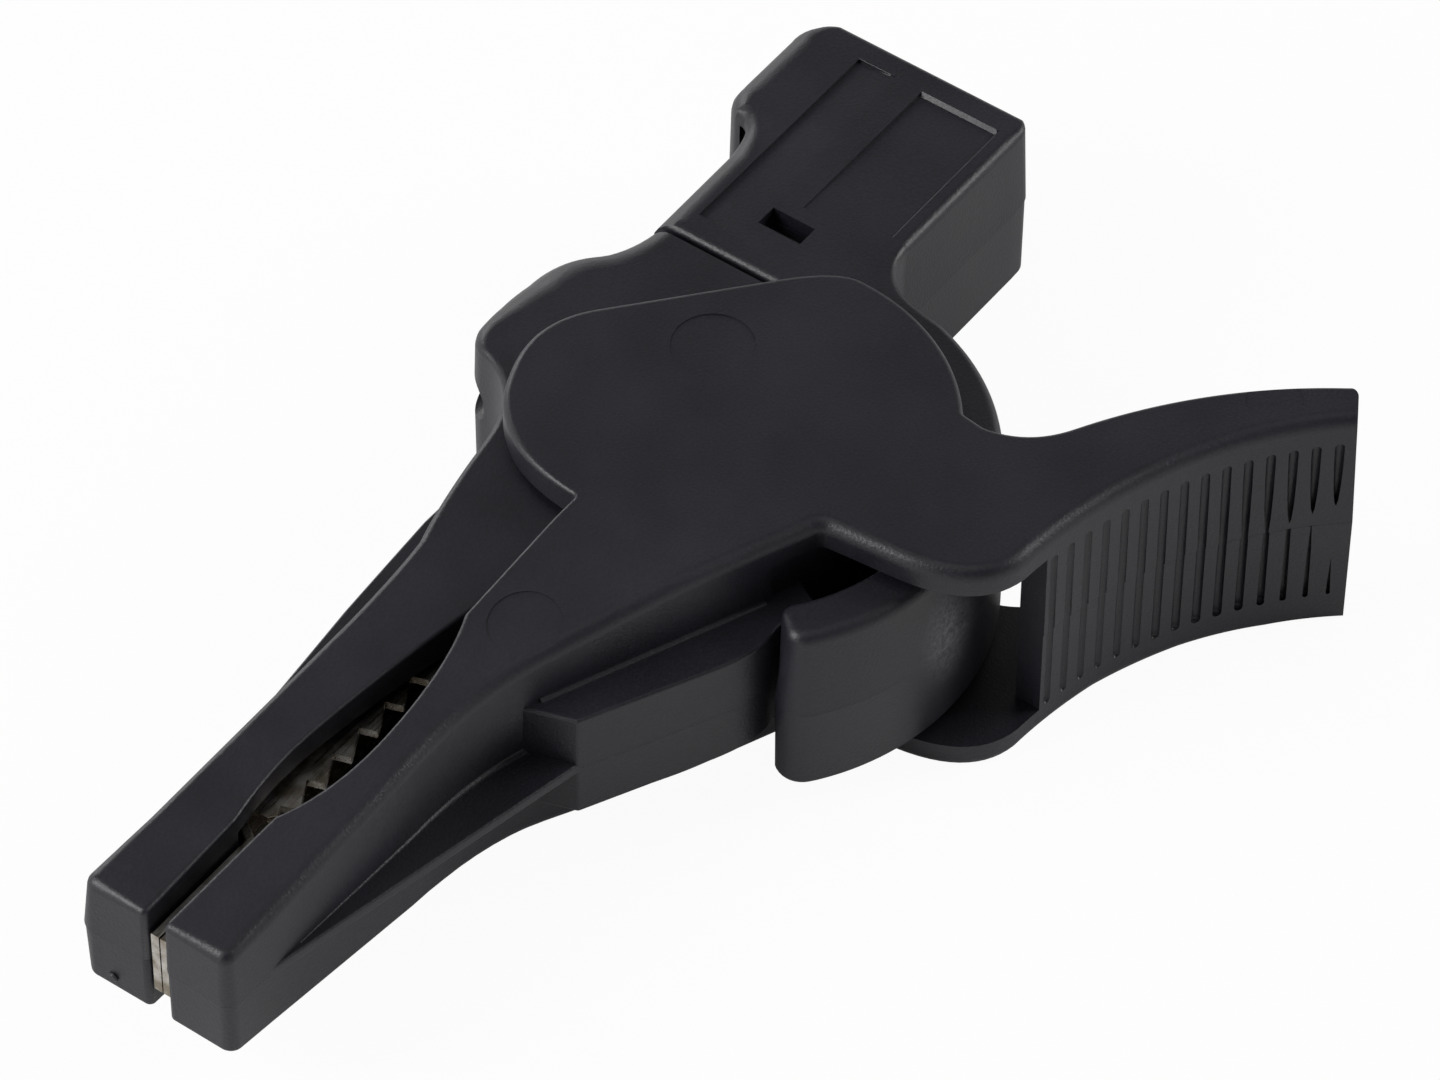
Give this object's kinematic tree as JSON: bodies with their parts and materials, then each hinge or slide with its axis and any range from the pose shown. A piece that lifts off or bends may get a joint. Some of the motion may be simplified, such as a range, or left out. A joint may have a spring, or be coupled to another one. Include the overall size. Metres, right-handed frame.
{
  "type": "crocodile clip",
  "caption": "Fully insulated crocodile clip: spring-closed jaws with toothed contacts, a grooved thumb arm, and a rear handle with a safety plug socket.",
  "frame": {"origin": "pivot axis of the jaws in the plane of the outer face of the lower cheek, where the clip lies on a table", "axes": "+X from the jaw tips towards the plug socket, +Y from the thumb arm towards the rear handle's hook side, +Z along the pivot axis"},
  "size_m": [0.0841, 0.0505, 0.018],
  "materials": {
    "black_plastic": "fine spark-eroded satin",
    "post_plastic": "smooth",
    "nickel_plated_brass": "nickel plated",
    "spring_steel": "drawn"
  },
  "bodies": {
    "body": {"front_body": "black_plastic", "rear_handle": "black_plastic", "fixed_contact": "nickel_plated_brass", "pivot_pin": "spring_steel", "torsion_spring": "spring_steel", "socket_post": "post_plastic", "socket_sleeve": "nickel_plated_brass", "link_strap": "nickel_plated_brass", "strap_rivets": "nickel_plated_brass"},
    "lever_arm": {"lever": "black_plastic", "moving_contact": "nickel_plated_brass"},
    "guard": {"guard_tongue": "black_plastic"}
  },
  "joints": [
    {"name": "lever_pivot", "type": "hinge", "parent": "body", "child": "lever_arm", "pos_m": [0, 0, 0.009], "axis": [0, 0, 1], "range_deg": [0, 24], "stiffness_Nm_per_rad": 0.4, "springref_deg": -40.11, "deforming": ["torsion_spring"]},
    {"name": "guard_flex", "type": "hinge", "parent": "body", "child": "guard", "pos_m": [0.01492, -0.00317, 0.009], "axis": [0, 0, 1], "range_deg": [0, 9.8]}
  ],
  "couplings": [
    {"joint": "guard_flex", "follows": "lever_pivot", "ratio": 0.4}
  ]
}
